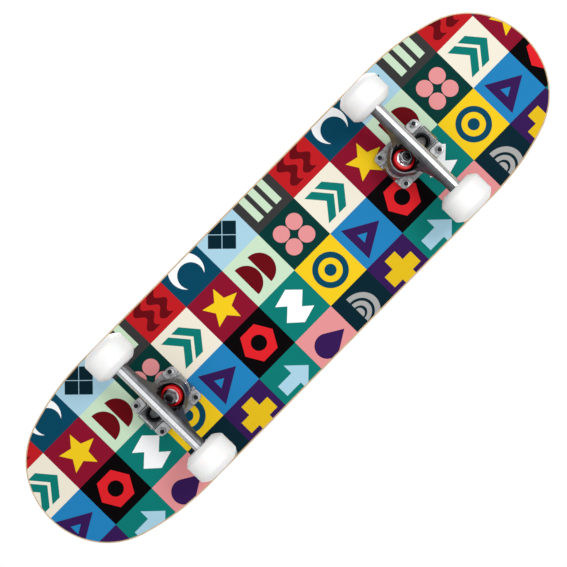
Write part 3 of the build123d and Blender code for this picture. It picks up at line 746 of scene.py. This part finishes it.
def modified(mesh, *modifiers):
    """The mesh with modifiers, each (kind, settings), applied in turn."""
    holder = bpy.data.objects.new("holder", mesh)
    bpy.context.collection.objects.link(holder)
    for kind, settings in modifiers:
        modifier = holder.modifiers.new(kind.lower(), kind)
        for name, value in settings.items():
            setattr(modifier, name, value)
    result = bpy.data.meshes.new_from_object(holder.evaluated_get(bpy.context.evaluated_depsgraph_get()))
    bpy.data.objects.remove(holder)
    return result


def casting(node, voxel, passes):
    """A CAD node as a casting: the same shape with its edges and corners run together."""
    mesh = modified(
        node_mesh(node),
        ("REMESH", {"mode": "VOXEL", "voxel_size": voxel}),
        ("SMOOTH", {"factor": SMOOTHING, "iterations": passes}),
    )
    mesh.shade_smooth()
    return mesh


def dressed(node, width):
    """A CAD node with its sharp edges broken, as on a real machined piece."""
    mesh = node_mesh(node)
    work = bmesh.new()
    work.from_mesh(mesh)
    bmesh.ops.dissolve_limit(work, angle_limit=FLAT_ANGLE, verts=work.verts, edges=work.edges)
    work.to_mesh(mesh)
    work.free()
    mesh.shade_smooth()
    settings = {
        "width": width,
        "segments": BREAK_SEGMENTS,
        "limit_method": "ANGLE",
        "angle_limit": BREAK_ANGLE,
        "harden_normals": True,
    }
    return modified(mesh, ("BEVEL", settings))


# The kingpin and its nut are darker than bare steel: painted shade of the socket round the kingpin
PART_FINISHES = {
    "kingpin": metal("kingpin_steel_painted_shade", (62, 62, 65), 0.42, 0.12),
    "kingpin_nut": metal("nut_steel_painted_shade", (128, 129, 132), 0.3, 0.16),
}
EDGE_BREAKS = {
    "kingpin": 0.25 * MM,
    "kingpin_nut": 0.35 * MM,
    "washer_boardside": 0.2 * MM,
    "washer_roadside": 0.2 * MM,
    "axle_nuts": 0.35 * MM,
    "speed_washers": 0.12 * MM,
    "mounting_nuts": 0.25 * MM,
}
half_turn = Matrix.Rotation(pi, 4, "Z")
for part, voxel, passes in CASTINGS:
    shape = casting(f"front_{part}", voxel, passes)
    for end in ENDS:
        node = f"{end}_{part}"
        mesh = shape.copy()
        if end == "rear":
            mesh.transform(half_turn)
        show(mesh, f"{node}_casting", bodies[node], [FINISHES[slots[node]]], [node])
for end in ENDS:
    for part, width in EDGE_BREAKS.items():
        node = f"{end}_{part}"
        finish = PART_FINISHES.get(part, FINISHES[slots[node]])
        show(dressed(node, width), f"{node}_dressed", bodies[node], [finish], [node])


# ---------------------------------------------------------------- wheels
def arc_through(start, middle, end, steps):
    """Points on the circle through three points, from the first to the last."""
    (ax, ay), (bx, by), (cx, cy) = start, middle, end
    scale = 2 * (ax * (by - cy) + bx * (cy - ay) + cx * (ay - by))
    a2, b2, c2 = ax * ax + ay * ay, bx * bx + by * by, cx * cx + cy * cy
    centre = (
        (a2 * (by - cy) + b2 * (cy - ay) + c2 * (ay - by)) / scale,
        (a2 * (cx - bx) + b2 * (ax - cx) + c2 * (bx - ax)) / scale,
    )
    angles = [degrees(atan2(y - centre[1], x - centre[0])) for x, y in (start, end)]
    return arc(centre, hypot(ax - centre[0], ay - centre[1]), *angles, steps)


def eased(points, radius, steps=5):
    """The open line of points with each inner corner rounded."""
    line = [points[0]]
    for before, corner, after in zip(points, points[1:], points[2:]):
        a, b, c = Vector(before), Vector(corner), Vector(after)
        reach = min(radius, (a - b).length / 2, (c - b).length / 2)
        start, end = b + (a - b).normalized() * reach, b + (c - b).normalized() * reach
        for i in range(steps + 1):
            t = i / steps
            line.append(tuple((1 - t) ** 2 * start + 2 * t * (1 - t) * b + t**2 * end))
    return line + [points[-1]]


def wheel_profile():
    """(along the axle, radius) from the middle of the tread round one side to the middle of the hub."""
    tread_end = (TREAD_HALF_WIDTH, WHEEL_RADIUS)
    face_start = (WHEEL_HALF_WIDTH, WHEEL_FACE_RADIUS)
    edge = arc_through(tread_end, WHEEL_SHOULDER, face_start, SHOULDER_STEPS)
    bearing_face = WHEEL_HALF_WIDTH - DISH_DEPTH
    inner = [
        edge[-1],
        (bearing_face + DISH_LIP[0], DISH_RADIUS + DISH_LIP[1]),
        (bearing_face, BEARING_SEAT),
        (HALF_SPACER, BEARING_SEAT),
        (HALF_SPACER, BEARING_STEP),
        (0, BEARING_STEP),
    ]
    tread = [(0, WHEEL_RADIUS), (TREAD_HALF_WIDTH * 0.5, WHEEL_RADIUS)]
    return tread + edge[:-1] + eased(inner, CORNER_ROUNDING)


def lathe(name, profile, centre):
    """A closed ring turned about an axle along Y, its tread in the second material."""
    count = len(profile)
    tread_radius = WHEEL_RADIUS - TREAD_MARGIN
    points, faces, indices = [], [], []
    for i in range(WHEEL_SEGMENTS):
        angle = 2 * pi * i / WHEEL_SEGMENTS
        out_x, out_z = cos(angle), sin(angle)
        points += [(centre.x + r * out_x, centre.y + along, centre.z + r * out_z) for along, r in profile]
    for i in range(WHEEL_SEGMENTS):
        for j in range(count):
            k = (j + 1) % count
            here, there = i * count, (i + 1) % WHEEL_SEGMENTS * count
            faces.append((here + j, here + k, there + k, there + j))
            indices.append(int(min(profile[j][1], profile[k][1]) >= tread_radius))
    mesh = bpy.data.meshes.new(name)
    mesh.from_pydata(points, [], faces)
    mesh.polygons.foreach_set("material_index", indices)
    mesh.shade_smooth()
    mesh.set_sharp_from_angle(angle=CREASE_ANGLE)
    return mesh


side_profile = wheel_profile()
whole_profile = side_profile + [(-along, r) for along, r in side_profile[-2:0:-1]]
for end in ENDS:
    for side in SIDES:
        node = f"{end}_{side}_wheel"
        low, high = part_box(node)
        mesh = lathe(f"{node}_tyre", whole_profile, (low + high) / 2)
        show(mesh, f"{node}_tyre", bodies[node], [white_side, white_tread], [node])

# ---------------------------------------------------------------- CAD pieces that show as they are
for name, node in frame["nodes"].items():
    if not node.hide_render:
        node.data.materials.clear()
        node.data.materials.append(FINISHES[slots[name]])

# ---------------------------------------------------------------- floor, light and camera
CAMERA_DISTANCE = 1.7  # below the deck's underside
CAMERA_LENS = 95.3
CAMERA_SENSOR = 36
CAMERA_REACH = 50.0  # as far as it sees
CAMERA_TURN = radians(45.5)  # of the board in the picture
CAMERA_SHIFT = (-4.87 * MM, -6.57 * MM)
FLOOR_HALF = 6.0


def floor():
    """A pale floor that is clear from below, where the camera is."""
    mesh = bpy.data.meshes.new("floor")
    corners = [(x * FLOOR_HALF, y * FLOOR_HALF, 0) for x, y in ((-1, -1), (1, -1), (1, 1), (-1, 1))]
    mesh.from_pydata(corners, [], [(0, 1, 2, 3)])
    plane = bpy.data.objects.new("floor", mesh)
    bpy.context.collection.objects.link(plane)
    finish = Finish("floor", (236, 236, 236), 0.9, Specular_IOR_Level=0.1)
    back = finish.node("ShaderNodeNewGeometry").outputs["Backfacing"]
    clear = finish.node("ShaderNodeBsdfTransparent").outputs["BSDF"]
    choice = finish.node("ShaderNodeMixShader")
    finish.link(back, choice.inputs["Fac"])
    finish.link(finish.shader.outputs["BSDF"], choice.inputs[1])
    finish.link(clear, choice.inputs[2])
    finish.link(choice.outputs["Shader"], finish.tree.nodes["Material Output"].inputs["Surface"])
    mesh.materials.append(finish.material)
    plane.visible_shadow = False
    plane.visible_diffuse = False
    plane.visible_glossy = False
    plane.visible_transmission = False


def lamp(name, place, aim, size, power):
    """A square soft light at place, turned to aim."""
    light = bpy.data.lights.new(name, "AREA")
    light.shape = "RECTANGLE"
    light.size, light.size_y = size
    light.energy = power
    holder = bpy.data.objects.new(name, light)
    holder.location = place
    holder.rotation_euler = (Vector(aim) - Vector(place)).to_track_quat("-Z", "Y").to_euler()
    holder.visible_camera = False
    bpy.context.collection.objects.link(holder)


def studio_world():
    """White to the camera, and a soft box below and above with greyer walls for everything else."""
    world = bpy.data.worlds.new("studio")
    world.use_nodes = True
    tree = world.node_tree
    tree.nodes.clear()
    where = tree.nodes.new("ShaderNodeTexCoord")
    split = tree.nodes.new("ShaderNodeSeparateXYZ")
    walls = tree.nodes.new("ShaderNodeValToRGB")
    walls.color_ramp.interpolation = "EASE"
    stops = ((0.0, 1.0), (0.25, 1.0), (0.38, 0.3), (0.5, 0.3), (0.75, 0.85), (1.0, 1.0))
    elements = walls.color_ramp.elements
    while len(elements) < len(stops):
        elements.new(0.5)
    for element, (position, value) in zip(elements, stops):
        element.position = position
        element.color = (value, value, value, 1)
    half = tree.nodes.new("ShaderNodeMath")
    half.operation = "MULTIPLY_ADD"
    half.inputs[1].default_value = 0.5
    half.inputs[2].default_value = 0.5
    seen = tree.nodes.new("ShaderNodeLightPath")
    lit = tree.nodes.new("ShaderNodeBackground")
    white = tree.nodes.new("ShaderNodeBackground")
    white.inputs["Color"].default_value = (1, 1, 1, 1)
    choice = tree.nodes.new("ShaderNodeMixShader")
    output = tree.nodes.new("ShaderNodeOutputWorld")
    link = tree.links.new
    link(where.outputs["Generated"], split.inputs[0])
    link(split.outputs["Z"], half.inputs[0])
    link(half.outputs[0], walls.inputs["Fac"])
    link(walls.outputs["Color"], lit.inputs["Color"])
    link(seen.outputs["Is Camera Ray"], choice.inputs["Fac"])
    link(lit.outputs["Background"], choice.inputs[1])
    link(white.outputs["Background"], choice.inputs[2])
    link(choice.outputs["Shader"], output.inputs["Surface"])
    bpy.context.scene.world = world


floor()
studio_world()
lamp("key", (1.6, 0.2, -2.6), (0, 0, 0.08), (0.7, 0.7), 24)
lamp("top", (0.8, -0.9, 1.6), (0, 0, 0.05), (1.2, 1.2), 18)

right = Vector((cos(CAMERA_TURN), sin(CAMERA_TURN), 0))
up = Vector((sin(CAMERA_TURN), -cos(CAMERA_TURN), 0))
camera_data = bpy.data.cameras.new("camera")
camera_data.sensor_width = CAMERA_SENSOR
camera_data.lens = CAMERA_LENS
camera_data.clip_end = CAMERA_REACH
camera = bpy.data.objects.new("camera", camera_data)
bpy.context.collection.objects.link(camera)
place = Vector((0, 0, DECK_BOTTOM - CAMERA_DISTANCE)) + CAMERA_SHIFT[0] * right + CAMERA_SHIFT[1] * up
turned = Matrix((right, up, Vector((0, 0, -1)))).transposed().to_4x4()
camera.matrix_world = Matrix.Translation(place) @ turned
bpy.context.scene.camera = camera
bpy.context.scene.view_settings.view_transform = "Standard"
